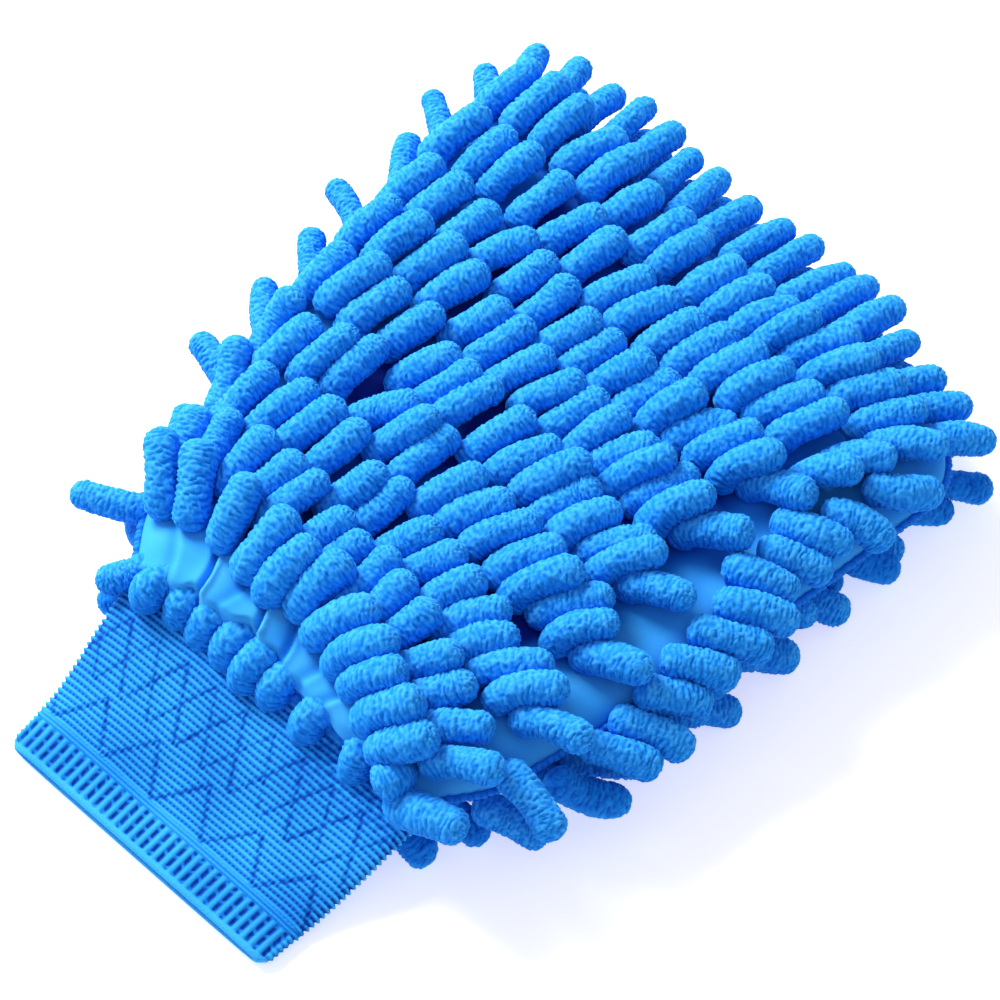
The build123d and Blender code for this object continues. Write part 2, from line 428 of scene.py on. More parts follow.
class NoodleMesh:
    """A round-ended tube template: rings from the root to the tip, with pile maps to pick from."""

    def __init__(self, ring_step, segments, seed, length=30.0, radius=NOODLE_RADIUS):
        body = np.arange(0.0, length - radius, ring_step)
        cap = np.arange(0, int(radius * math.pi / 2 / ring_step)) * ring_step / radius
        share = np.concatenate([body, length - radius + radius * np.sin(cap)]) / length
        girth = np.concatenate([np.ones(len(body)), np.cos(cap)])
        # thinner towards the root, which is rounded off
        girth[: len(body)] *= 0.84 + 0.16 * smooth(0, 6.0, body)
        girth[: len(body)] *= np.sqrt(1 - 0.9 * (1 - np.minimum(body / 3.6, 1)) ** 2)
        self.share, self.girth = share, girth
        self.slope = np.concatenate([np.zeros(len(body)), np.sin(cap)])
        self.rows, self.segments = len(share), segments
        arc = length - radius + radius * math.pi / 2
        self.maps = pile_maps(seed, self.rows, segments, arc, radius)
        self.quads = grid_quads(self.rows, segments, wrap=True)
        tip = self.rows * segments
        ring = np.arange(segments)
        after = (ring + 1) % segments
        last = (self.rows - 1) * segments
        self.tip_fan = np.stack([last + ring, last + after, np.full(segments, tip)], -1)
        self.root_fan = np.stack([after, ring, np.full(segments, tip + 1)], -1)
        self.size = tip + 2


def smooth_line(chain, share):
    """Points and unit tangents of a Catmull-Rom line through chain at the given shares of it."""
    n = len(chain)
    ends = np.vstack([2 * chain[0] - chain[1], chain, 2 * chain[-1] - chain[-2]])
    t = np.clip(share, 0, 1) * (n - 1)
    i = np.minimum(t.astype(int), n - 2)
    f = (t - i)[:, None]
    p0, p1, p2, p3 = (ends[i + k] for k in range(4))
    point = 0.5 * (2 * p1 + (p2 - p0) * f + (2 * p0 - 5 * p1 + 4 * p2 - p3) * f**2
                   + (3 * p1 - p0 - 3 * p2 + p3) * f**3)
    slope = 0.5 * ((p2 - p0) + 2 * (2 * p0 - 5 * p1 + 4 * p2 - p3) * f
                   + 3 * (3 * p1 - p0 - 3 * p2 + p3) * f**2)
    return point, unit(slope)


def noodle_points(shape, chain, radius, pile, pile_depth, spin, lumps, outer):
    """Points of one noodle and its tone, as NoodleMesh orders them. The tone is painted light and
    shade: the pile is lighter on the side that faces outer and at the tip, and darker in its
    partings and hollows."""
    middle, tangent = smooth_line(chain, shape.share)
    side = unit(np.cross(tangent, (0.0, 0.0, 1.0)))
    up = np.cross(side, tangent)
    turn = 2 * math.pi * (np.arange(shape.segments) / shape.segments) + spin
    cos, sin = np.cos(turn)[None, :, None], np.sin(turn)[None, :, None]
    outward = side[:, None] * cos + up[:, None] * sin
    swell = 1 + 0.045 * np.sin(shape.share * lumps[0] + lumps[1])
    swell = swell + 0.025 * np.sin(shape.share * lumps[2])
    girth = (radius * swell * shape.girth)[:, None, None]
    lean = shape.slope[:, None, None]
    normal = outward * np.sqrt(1 - lean**2) + tangent[:, None] * lean
    height = ((pile - PILE_LEVEL) * pile_depth)[..., None]
    points = middle[:, None] + outward * girth + normal * height
    tip = middle[-1] + tangent[-1] * 0.35
    points = np.vstack([points.reshape(-1, 3), tip[None], middle[:1]])
    # painted light on the side that faces outer and on the rounded tip
    painted_outer_light = smooth(-0.45, 0.95, normal @ np.array(outer)) + 0.30 * shape.slope[:, None] ** 2
    # painted shade: lower pile, in the partings and between the tufts, is darker
    tone = 0.74 * pile + 0.36 * np.minimum(painted_outer_light, 1.15)
    # painted light on the tip's end point and painted shade on the root's middle point
    return points, np.concatenate([tone.ravel(), [0.8, 0.2]])


def noodle_piece(name, shape, chains, seed, node):
    """All noodles of one row as one mesh."""
    r = np.random.default_rng(seed)
    # the way the pile's painted light faces: up on the upper face and the right rim, down on the
    # lower face, leaning a little towards the key lamp at -X
    outer = (-0.15, 0.0, 0.98 if node.startswith("upper") or "right" in node else -0.98)
    points, tones, faces = [], [], [[], [], []]
    for count, (chain, radius) in enumerate(chains):
        pile = shape.maps[r.integers(len(shape.maps))]
        pile = np.roll(pile, r.integers(shape.segments), axis=1)
        if r.random() < 0.5:
            pile = pile[:, ::-1]
        lumps = (r.uniform(4, 9), r.uniform(0, 6), r.uniform(9, 14))
        depth = r.uniform(0.85, 1.1)
        spin = r.uniform(0, 6.28)
        got, tone = noodle_points(shape, chain, radius, pile, depth, spin, lumps, outer)
        got[:, 2] = np.maximum(got[:, 2], 0.05)  # the pile is pressed flat on the table
        points.append(got)
        tones.append(tone)
        for k, part in enumerate((shape.quads, shape.tip_fan, shape.root_fan)):
            faces[k].append(part + count * shape.size)
    faces = [np.vstack(part) for part in faces]
    piece = store_mesh(name, np.vstack(points), faces, np.concatenate(tones))
    return finish_piece(piece, chenille, node)


# rows of the broad faces: how far along their roots are, and how many noodles each has
row_roots = (75.5, 89.5, 108.0, 129.5, 151.0, 172.0, 193.0, 215.0, 239.0)
row_columns = (12, 14, 15, 15, 15, 15, 15, 15, 16)
# where the first row's roots and the other rows' tips start and stop across the mitt
row_spans = (
    (-61, 50), (-73, 75), (-77, 83), (-80, 80), (-79, 76), (-79, 75), (-81, 78), (-84, 83),
    (-86, 85),
)
ROW_REACH = 27.5  # how far in plan a row noodle's tip lies from its root

# noodles of the left rim: how far along their roots are, and where they point in degrees
left_rim = (
    (75, -127), (88, -52), (120, -50), (137, -49), (159, -47), (182, -46), (204, -48), (226, -47),
    (249, -33),
)
# noodles of the right rim: roots across and along, where they point, and their layer
right_upper_rim = (
    (66, 78, 92, 0), (78, 99, 57, 0), (79, 123, 55, 0), (77, 145, 54, 0), (74, 168, 58, 0),
    (72, 190, 57, 0), (73, 212, 44, 0), (84, 219, 56, 0), (76, 229, 45, 0), (77, 112, 60, 0),
    (79, 134, 58, 0), (78, 157, 60, 0), (76, 180, 62, 0), (80, 200, 68, 0),
)
right_lower_rim = (
    (63, 72, 84, 0), (70, 99, 66, 0), (73, 126, 62, 0), (74, 149, 60, 0), (72, 173, 60, 0),
    (75, 138, 62, 1), (77, 161, 62, 1), (78, 186, 62, 1), (78, 211, 64, 1),
)
right_layer_height = (12.4, 8.5)
FRINGE_ROOTS = (-53, -46, -36, -26, -17, -7, 3, 16, 33, 46)
FAR_COUNT = 17


class Strand:
    """One noodle before it settles. Its pitch goes from the first angle at the root to the second
    at the tip, the sooner the higher bend is, and curl turns it in plan."""

    def __init__(self, group, root, heading, pitch, length, radius, side, curl=0.0, bend=1.0):
        self.group = ("upper_" if side > 0 else "lower_") + group
        self.side, self.radius = side, radius
        step = (length - radius) / (CHAIN - 1)
        point = np.array(root, float)
        chain = [point]
        for k in range(CHAIN - 1):
            angle = pitch[1] + (pitch[0] - pitch[1]) * (1 - k / (CHAIN - 2)) ** bend
            flat, turned = math.cos(angle), heading + curl * k
            way = (flat * math.sin(turned), flat * math.cos(turned), math.sin(angle))
            point = point + step * np.array(way)
            chain.append(point)
        self.chain = np.array(chain)


def row_heading(row, x, outermost):
    """Which way a noodle of a row points in plan, in degrees: 0 towards the fingers, positive
    towards +X. The first rows fan out from the neck, and each row's last noodle turns outwards."""
    fan = 18 + (0.62 if x > -20 else 1.35) * (x + 20)
    near = math.exp(-row)
    base = 24 - 9 * float(smooth(-42, -80, x)) + 15 * float(smooth(25, 66, x))
    if outermost:
        base = 62 if row < 7 else 42
    return near * fan + (1 - near) * base


def face_strands(side, r):
    """The rows of one broad face."""
    strands = []
    for row, (first, columns) in enumerate(zip(row_roots, row_columns)):
        left, right = row_spans[row]
        right += 15 if side < 0 and row > 1 else 0
        for column in range(columns):
            outermost = column == columns - 1
            u = column / (columns - 1)
            x = left + (right - left) * (1.14 * u - 0.14 * u * u) + r.normal(0, 0.9)
            along = first - 0.0031 * math.exp(-row / 1.6) * (x + 30) ** 2 + r.normal(0, 1.1)
            degrees = row_heading(row, x, outermost)
            if row > 0:
                # x is where the tip lies: the root is found from it
                if outermost:
                    x += 4
                    along -= 5
                along -= (6.5 + 0.5 * row) * float(smooth(-45, -5, x))
                along -= max(0.0, 13 - 2 * row) * float(smooth(10, 70, x))
                back = math.radians(degrees)
                along += ROW_REACH * (1 - math.cos(back))
                root = max(x - ROW_REACH * math.sin(back), 3 - float(rim_half_width(along)))
                degrees = math.degrees(math.asin((x - root) / ROW_REACH))
                x = root
            y = float(skewed(x, along))
            z = float(surface(side, x, along))
            radius = NOODLE_RADIUS * r.uniform(0.94, 1.06) * (1.08 if row == 0 else 1)
            # noodles lie less tidily round one spot right of the middle
            mess = math.exp(-(((x - 18) / 28) ** 2) - ((along - 128) / 26) ** 2)
            heading = math.radians(degrees + r.normal(0, 4 + 8 * mess))
            steep = 60 + r.normal(0, 3 + 5 * mess)
            pitch = (side * math.radians(steep), side * math.radians(7 + r.normal(0, 4)))
            root = (x, y, z - side * 0.8)
            name = f"noodle_row_{row + 1:02d}"
            curl = math.radians(r.normal(0, 1.6))
            length = r.uniform(31, 33.5)
            strands.append(Strand(name, root, heading, pitch, length, radius, side, curl, 2.0))
    return strands


def rim_strands(side, r):
    """Noodles round the rim: left edge, far edge and right edge."""
    strands = []
    for along, degrees in left_rim:
        # left: they come from under the rim and point outwards and towards the fingers
        along = along - (0 if side > 0 else 8) + r.normal(0, 1.0)
        x = -float(rim_half_width(along)) + (1 if side > 0 else 7)
        heading = math.radians(degrees * (1 if side > 0 else 0.55) + r.normal(0, 4))
        y = float(skewed(x, along))
        z = float(rim_height(x, along)) + (-2.4 if side > 0 else -6.5)
        radius = (4.2 if side > 0 else 4.8) * r.uniform(0.94, 1.10)
        pitch = (math.radians(14 if side > 0 else -8), math.radians(4 if side > 0 else -12))
        curl, length = math.radians(r.normal(1, 4)), r.uniform(27, 31)
        root = (x, y, z)
        strands.append(Strand("left_noodles", root, heading, pitch, length, radius, side, curl))
    for x, along, degrees, layer in right_upper_rim if side > 0 else right_lower_rim:
        # right: above, they lie on the panel and most of them stick out past the rim; below, they
        # stick out in two layers
        if side > 0:
            x, along = x + r.normal(0, 0.8), along + r.normal(0, 0.8)
            z, pitch = float(surface(1, x, along)) + 2.2, (math.radians(8), math.radians(-24))
        else:
            z, pitch = right_layer_height[layer], (math.radians(2), math.radians(8 - 8 * layer))
        root = (x, float(skewed(x, along)), z)
        heading = math.radians(degrees + r.normal(0, 3))
        radius = NOODLE_RADIUS * (r.uniform(0.95, 1.08) if side > 0 else r.uniform(0.92, 1.04))
        curl, length = math.radians(r.normal(0, 2.5)), r.uniform(28, 31)
        strands.append(Strand("right_noodles", root, heading, pitch, length, radius, side, curl))
    for step in range(FAR_COUNT):
        # far: in an even row along the far edge and round its corners
        across = 2 * step / (FAR_COUNT - 1) - 1
        reach = float(half_width(far_along)) - far_corner
        x = across * (reach + 13) - 2 + r.normal(0, 0.8)
        dip = far_corner - math.sqrt(far_corner**2 - max(0.0, abs(x) - reach) ** 2)
        along = far_along - (2.0 if side > 0 else 1.0) - dip - 10 * float(smooth(30, 85, x))
        y = float(skewed(x, along))
        z = float(rim_height(x, along)) + side * 4.6
        corner = 22 * float(smooth(70, 98, x)) - 12 * float(smooth(-70, -98, x))
        heading = math.radians(12 + 0.24 * x + corner) + r.normal(0, 0.10)
        pitch = (side * math.radians(18), math.radians(-12 if side > 0 else 2) + r.normal(0, 0.08))
        radius, length = NOODLE_RADIUS * r.uniform(0.86, 1.0), r.uniform(31, 35)
        strands.append(Strand("far_noodles", (x, y, z), heading, pitch, length, radius, side))
    return strands


def fringe_strands(side, r):
    """The short row that hangs back over the cuff."""
    strands = []
    for step, x in enumerate(FRINGE_ROOTS):
        x = x + r.normal(0, 0.6)
        droop = float(smooth(20, 40, x))
        along = 64.5 - 0.0016 * (x + 10) ** 2
        y = float(skewed(x, along))
        z = seam_z + (-0.2 if side > 0 else -6.0)
        heading = math.pi + math.radians(25 - 21 * droop + 8 * (step == 0) + r.normal(0, 4))
        pitch = (math.radians(-2 if side > 0 else -26), math.radians(-13 - 22 * droop))
        radius = (NOODLE_RADIUS + 0.45) * r.uniform(0.90, 1.06) * (0.85 if step == 0 else 1)
        length = r.uniform(26.5, 28.5) - 4 * droop
        strands.append(Strand("cuff_fringe", (x, y, z), heading, pitch, length, radius, side))
    return strands


def cuff_section(along):
    """Half width, bottom and top of the cuff at a distance from its mouth."""
    a = np.asarray(along, float)
    width = 51.5 + (57.5 - 51.5) * smooth(0, neck_along, a)
    climb = 0.60 * smooth(14, neck_along, a) + 0.40 * smooth(neck_along - 3, neck_along + 7, a)
    low = 0.15 + climb * (seam_z - 4.2)
    high = 5.3 + 0.5 * smooth(0, 12, a) + climb * (seam_z + 4.2 - 5.8)
    return width, low, high


SETTLE_ROUNDS = 150
NEAR = 14.0  # points of different noodles that are closer than this may touch soon
PACKING = 0.93  # how close two noodles may come, as a share of their radii's sum
SAG = 0.05  # how far a noodle sinks in a round
GIVE_WAY = 0.4  # share of an overlap that a round undoes
MOST_MOVE = 0.8  # how far a round may push a point
SPRING = 0.12  # share of a bend that a round undoes


def near_pairs(flat, owner):
    """Pairs of points of different noodles that are close enough to touch soon."""
    first, second = [], []
    for start in range(0, len(flat), 400):
        part = flat[start : start + 400]
        gap = ((part[:, None] - flat[None]) ** 2).sum(-1)
        i, j = np.nonzero(gap < NEAR**2)
        i += start
        keep = (j > i) & (owner[i] != owner[j])
        first.append(i[keep])
        second.append(j[keep])
    return np.concatenate(first), np.concatenate(second)


def settle(strands):
    """Lets the noodles push each other apart, bend and come to rest on the body and the table."""
    p = np.array([s.chain for s in strands])
    start = p.copy()
    rest = np.diff(p, axis=1)
    step = np.linalg.norm(rest, axis=2, keepdims=True)
    n = len(strands)
    radius = np.array([s.radius for s in strands])
    side = np.array([s.side for s in strands])
    owner = np.repeat(np.arange(n), CHAIN)
    size = np.repeat(radius, CHAIN)
    tucked = np.array(["fringe" in s.group for s in strands])[:, None]
    # the root stays, and the next two points follow less than the others
    give = np.array([0.0, 0.12, 0.5] + [1.0] * (CHAIN - 3))
    free = np.tile(give, n)
    for turn in range(SETTLE_ROUNDS):
        flat = p.reshape(-1, 3)
        if turn % 12 == 0:
            i, j = near_pairs(flat, owner)
            apart = (size[i] + size[j]) * PACKING
            share = free[i] / (free[i] + free[j] + 1e-6)
        p[:, 2:, 2] -= SAG
        gap = flat[i] - flat[j]
        far = np.sqrt((gap**2).sum(-1)) + 1e-6
        push = gap * (np.maximum(apart - far, 0) / far * GIVE_WAY)[:, None]
        move = np.zeros_like(flat)
        for k in range(3):
            move[:, k] = np.bincount(i, push[:, k] * share, len(flat))
            move[:, k] -= np.bincount(j, push[:, k] * (1 - share), len(flat))
        flat = flat + np.clip(move, -MOST_MOVE, MOST_MOVE)
        p = flat.reshape(n, CHAIN, 3)
        for k in range(2, CHAIN):
            p[:, k] += SPRING * (p[:, k - 1] + rest[:, k - 1] - p[:, k])
        x, y, z = p[..., 0], p[..., 1], p[..., 2]
        along = along_of(x, y)
        over = (np.abs(x) < rim_half_width(along)) & (along < far_along) & (along > neck_along)
        over = over & ~tucked
        top = surface(1, x, along) + radius[:, None] * 0.85
        under = surface(-1, x, along) - radius[:, None] * 0.85
        up = (side > 0)[:, None] & (z > seam_z)
        z = np.where(up & over, np.maximum(z, top), z)
        z = np.where(~up & over, np.minimum(z, under), z)
        on_cuff = (along < neck_along) & (np.abs(x) < 58)
        _, low, high = cuff_section(along)
        z = np.where(up & on_cuff, np.maximum(z, high + radius[:, None] * 0.9), z)
        z = np.where(~up & on_cuff, np.minimum(z, low - radius[:, None] * 0.9), z)
        z = np.maximum(z, radius[:, None] * 0.86)
        p[..., 2] = z
        p = start + (p - start) * (give > 0)[None, :, None]
        for k in range(1, CHAIN):
            d = p[:, k] - p[:, k - 1]
            d *= step[:, k - 1] / np.maximum(np.linalg.norm(d, axis=1, keepdims=True), 1e-6)
            p[:, k] = p[:, k - 1] + d
    for _ in range(3):
        p[:, 1:-1] = 0.25 * p[:, :-2] + 0.5 * p[:, 1:-1] + 0.25 * p[:, 2:]
    return p


dice = np.random.default_rng(20)
strands = []
for side in (1, -1):
    strands += face_strands(side, dice) + rim_strands(side, dice) + fringe_strands(side, dice)
lines = settle(strands)

fine_noodle = NoodleMesh(0.42, 72, seed=5)
coarse_noodle = NoodleMesh(0.55, 44, seed=6)
rows = {}
for strand, line in zip(strands, lines):
    rows.setdefault(strand.group, []).append((line, strand.radius))
for count, (name, chains) in enumerate(sorted(rows.items())):
    shape = fine_noodle if name.startswith("upper") or "right" in name else coarse_noodle
    piece_name = name.replace("noodle_row", "pile_row").replace("noodles", "pile")
    noodle_piece(piece_name, shape, chains, 100 + count, name)

# ---------- backing panels and linings


TUCK_ROWS = 14  # rows of points in a panel's near edge, where it turns under


def body_sheet(name, side, node, material, rows_n, columns, drop=0.0, wall=1.3, inset=0.0):
    """A thin sheet with the shape of one face of the body, drop mm inside it and inset mm in from
    the rim, where it grows thinner. Its near edge turns under and runs back to the neck seam."""
    v = np.linspace(0, 1, rows_n)
    v = 1 - (1 - v) ** 1.3
    u = np.linspace(-1, 1, columns)
    u = 0.55 * np.sin(u * math.pi / 2) + 0.45 * u
    far = far_along - inset
    flat_x = u * neck_half_width
    first = near_edge(flat_x) + (inset > 0) * 2
    along = first[None, :] + v[:, None] * (far - first[None, :])
    x = (rim_half_width(np.minimum(along + inset, far_along)) - inset) * u[None, :]
    z = surface(side, x, along) - side * drop
    y = skewed(x, along)
    outer = np.stack([x, y, z], -1)
    inner = outer.copy()
    inner[..., 2] -= side * np.minimum(wall, 0.4 + wall * pillow(x, along))
    inner[..., 0] *= 0.994
    # the turned edge: t is 1 at the neck seam and 0 where the sheet's face starts
    t = np.linspace(1, 0, TUCK_ROWS + 1)[:-1, None]
    seam_along = neck_along + 1.0
    width, low, high = cuff_section(seam_along)
    round_off = (1 - np.minimum(np.abs(x[:1]) / width, 1) ** 5) ** 0.4
    level = (low + high) / 2 + side * ((high - low) / 2 + 0.1) * round_off
    edge_z = z[:1]
    roll = np.sqrt(1 - (1 - np.minimum(t * 3.2, 1)) ** 2)
    bulge = 1.1 * np.sin(math.pi * np.minimum(t * 1.6, 1))
    tuck = np.stack([
        x[:1] * (1 - 0.02 * t),
        y[:1] - bulge + (seam_along - first[None, :]) * t**2,
        edge_z + (level - edge_z) * (0.35 * roll + 0.65 * t),
    ], -1)
    outer = np.concatenate([tuck, outer])
    inward = np.stack([0 * t, wall * 0.8 * np.minimum(t * 3, 1), -side * wall * 0.7 * (1 - t)], -1)
    inner = np.concatenate([tuck + inward, inner])
    x, along = outer[..., 0], outer[..., 1] - mouth_y
    rows_n = len(outer)
    points = np.vstack([outer.reshape(-1, 3), inner.reshape(-1, 3)])
    total = rows_n * columns
    top = grid_quads(rows_n, columns, flip=side < 0)
    bottom = grid_quads(rows_n, columns, flip=side > 0) + total
    ring = np.concatenate([
        np.arange(columns),
        np.arange(1, rows_n) * columns + columns - 1,
        (rows_n - 1) * columns + np.arange(columns - 2, -1, -1),
        np.arange(rows_n - 2, 0, -1) * columns,
    ])
    after = np.roll(ring, -1)
    edge = np.stack([ring, ring + total, after + total, after], -1)
    if side < 0:
        edge = edge[:, ::-1]
    # painted light and shade on the gathers: lighter on their crests, darker in their creases
    fold = np.clip(gathers(x, along) / 2.2, -1, 1) * smooth(0.2, 0.8, pillow(x, along))
    # painted shade: darker where the noodles cover it
    painted_pile_shade = smooth(74, 84, along) * (1 - smooth(0.55, 0.85, np.abs(x) / rim_half_width(along)))
    shade = 0.68 + 0.10 * soft_wave(x, along) + 0.35 * fold - 0.62 * painted_pile_shade
    shade = np.clip(np.concatenate([shade.ravel(), shade.ravel()]), 0, 1)
    piece = store_mesh(name, points, [top, bottom, edge], shade)
    finish_piece(piece, material, node)
    return piece


body_sheet("upper_backing", 1, "upper_panel", jersey, 225, 200)
body_sheet("lower_backing", -1, "lower_panel", jersey, 200, 180)
for face, side in (("upper", 1), ("lower", -1)):
    body_sheet(f"{face}_pocket_lining", side, f"{face}_lining", lining_cloth,
               90, 90, drop=2.2, wall=0.5, inset=3.0)

# ---------- threads


def rim_path(spacing):
    """Points round the rim from the left side of the neck, over the far edge, to the right."""
    along = np.concatenate([
        np.linspace(neck_along + 1, far_along - far_corner, 120, endpoint=False),
        far_along - far_corner + far_corner * np.sin(np.linspace(0, math.pi / 2, 60)),
    ])
    x = -rim_half_width(along)
    far = np.linspace(x[-1], -x[-1], 80)[1:-1]
    x = np.concatenate([x, far, -x[::-1]])
    along = np.concatenate([along, np.full(len(far), far_along), along[::-1]])
    path = np.stack([x, skewed(x, along), rim_height(x, along)], -1)
    s = np.concatenate([[0], np.cumsum(np.linalg.norm(np.diff(path, axis=0), axis=1))])
    t = np.arange(0, s[-1], spacing)
    return np.stack([np.interp(t, s, path[:, k]) for k in range(3)], -1), t


OVERLOCK_PITCH = 1.9
OVERLOCK_SIDES = 10


def overlock_edge():
    """The thread that wraps the two panels' edges: a rope along the rim, thick at each stitch."""
    path, t = rim_path(0.35)
    outward = unit(np.cross(np.gradient(path, axis=0), (0, 0, 1.0)))
    stitch = np.abs(np.sin(t * math.pi / OVERLOCK_PITCH))
    path = path - outward * (0.4 + 0.5 * stitch)[:, None]
    path[:, 2] += 0.25 * np.sin(t * math.pi / OVERLOCK_PITCH)
    ahead = unit(np.gradient(path, axis=0))
    side = unit(np.cross(ahead, (0, 0, 1.0)))
    up = np.cross(side, ahead)
    turn = np.linspace(0, 2 * math.pi, OVERLOCK_SIDES, endpoint=False)
    cos, sin = np.cos(turn)[None, :, None], np.sin(turn)[None, :, None]
    ring = side[:, None] * cos + 0.85 * up[:, None] * sin
    points = path[:, None] + ring * (0.75 + 0.45 * stitch)[:, None, None]
    order = np.arange(OVERLOCK_SIDES)[None]
    ends = [order[:, ::-1], order + (len(path) - 1) * OVERLOCK_SIDES]
    faces = [grid_quads(len(path), OVERLOCK_SIDES, wrap=True), *ends]
    # painted light: the thread's top is lighter and its underside darker
    tone = np.broadcast_to((0.5 + 0.5 * np.sin(turn))[None, :], points.shape[:2])
    piece = store_mesh("overlock_edge", points.reshape(-1, 3), faces, tone.ravel())
    finish_piece(piece, thread, "side_seam")


overlock_edge()


STITCH_PITCH, STITCH_LENGTH, STITCH_RADIUS = 3.6, 2.8, 0.28
STITCH_SIDES = 6  # rings of points along a stitch, and points in each ring


def stitch_rows(name, side, node):
    """Lengths of thread inside a panel, one line under each noodle row."""
    points, faces, count = [], [], 0
    turn = np.linspace(0, 2 * math.pi, STITCH_SIDES, endpoint=False)
    for first in row_roots:
        reach = float(half_width(first)) - 17
        for x in np.arange(-reach, reach, STITCH_PITCH):
            t = np.linspace(0, STITCH_LENGTH, STITCH_SIDES)
            px = x + t
            py = skewed(px, first)
            depth = 1.75 + 0.25 * np.sin(t / STITCH_LENGTH * math.pi)
            pz = surface(side, px, np.full_like(px, first)) - side * depth
            for k in range(STITCH_SIDES):
                thick = STITCH_RADIUS * math.sin(0.25 + 2.64 * k / (STITCH_SIDES - 1))
                ring_y, ring_z = py[k] + thick * np.cos(turn), pz[k] + thick * np.sin(turn)
                points.append(np.stack([np.full(STITCH_SIDES, px[k]), ring_y, ring_z], -1))
            faces.append(grid_quads(STITCH_SIDES, STITCH_SIDES, wrap=True) + count)
            count += STITCH_SIDES**2
    points = np.vstack(points)
    piece = store_mesh(name, points, [np.vstack(faces)], np.full(len(points), 0.5))
    return finish_piece(piece, thread, node)


stitch_rows("upper_stitch_lines", 1, "upper_row_stitching")
stitch_rows("lower_stitch_lines", -1, "lower_row_stitching")

# ---------- cuff

COURSE = 1.8  # pitch of the knit's courses
WALE = 1.45  # pitch of its wales
RIB = 3.2  # pitch of the band's ribs
DASH = 3.9  # pitch of the dashes between them
BAND_END = 12.0  # where the band's cloth ends
PLAIN_START, PLAIN_END = 11.0, 13.6  # the plain strip between the ribs and the lozenges
PATTERN_HALF_WIDTH = 52.0  # half the width that the knit's pattern is laid out on
CUFF_WALL = 1.9  # from the cuff's outer skin to the inner one
knit_wave = wave_noise(41, 30)
knit_fuzz = wave_noise(42, 5, 24)


def cuff_loop(along, grow, top_count, bottom_count):
    """Points round the flattened cuff at one distance from its mouth, from the left edge over
    the top to the right edge and back underneath: their x and z, how far each lies from the
    cuff's middle line, and how far its edge does, both on the scale of the knit's pattern."""
    width, low, high = cuff_section(along)
    theta = np.linspace(0, 2 * math.pi, 2881)
    c, s = np.cos(math.pi - theta), np.sin(math.pi - theta)
    corner = 1 - 0.05 * (1 - smooth(0, 5, along)) ** 2
    x = (width * corner + grow) * np.sign(c) * np.abs(c) ** 0.40
    z = ((high - low) / 2 + grow) * np.sign(s) * np.abs(s) ** 0.8 + (high + low) / 2
    z = z + 0.35 * knit_wave(x, along) * smooth(4, 20, along)
    length = np.concatenate([[0], np.cumsum(np.hypot(np.diff(x), np.diff(z)))])
    half = length[-1] / 2
    t = np.concatenate([
        np.linspace(0, half, top_count, endpoint=False),
        np.linspace(half, 2 * half, bottom_count, endpoint=False),
    ])
    u = np.where(t < half, t - half / 2, 1.5 * half - t)
    x, z = np.interp(t, length, x), np.interp(t, length, z)
    width = float(width)
    return x, z, u * PATTERN_HALF_WIDTH / width, half / 2 * PATTERN_HALF_WIDTH / width


def loop_normals(x, z):
    """Outward unit normals of a loop of points, as their x and z parts."""
    dx = np.roll(x, -1) - np.roll(x, 1)
    dz = np.roll(z, -1) - np.roll(z, 1)
    size = np.hypot(dx, dz)
    return -dz / size, dx / size


def zigzag(u, period):
    """A triangle wave from -1 to 1."""
    return 4 * np.abs((u / period) % 1 - 0.5) - 1


